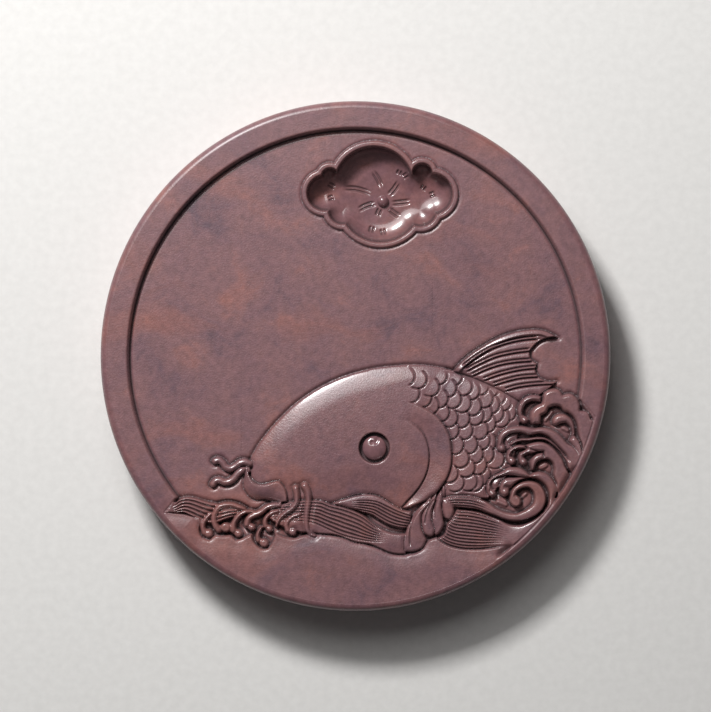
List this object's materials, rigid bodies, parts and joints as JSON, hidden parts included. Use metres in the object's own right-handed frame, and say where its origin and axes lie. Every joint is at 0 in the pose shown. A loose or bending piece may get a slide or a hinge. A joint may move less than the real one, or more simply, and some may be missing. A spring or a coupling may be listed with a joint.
{
  "type": "ink stone",
  "caption": "Round carved ink stone with a raised rim, a grinding field, a lobed ink pool and a carp among waves in relief.",
  "frame": {"origin": "centre of the flat underside", "axes": "+Z out of the carved face; +Y towards the ink pool; +X to the right of a person who looks at the carved face with the pool at the top"},
  "size_m": [0.2, 0.2, 0.028],
  "materials": {
    "slab_stone": "purple-brown fine-grained stone, rubbed smooth and waxed to a satin",
    "carved_stone": "the same stone, carved and waxed, dark in the cuts",
    "polished_stone": "the same stone, polished"
  },
  "bodies": {
    "root": {"stone_slab": "slab_stone", "pool_lip": "carved_stone", "pool_bud": "polished_stone", "carp_head": "carved_stone", "carp_eye": "polished_stone", "carp_lips": "carved_stone", "gill_cover": "carved_stone", "scaled_back": "carved_stone", "back_fin": "carved_stone", "side_fin": "carved_stone", "snout_barbels": "carved_stone", "chin_barbels": "carved_stone", "left_wave": "carved_stone", "spray_curls": "carved_stone", "middle_wave": "carved_stone", "rear_wave": "carved_stone", "tail_wave": "carved_stone", "low_wave": "carved_stone", "top_crest": "carved_stone", "middle_crest": "carved_stone", "lower_crest": "carved_stone"}
  },
  "joints": []
}
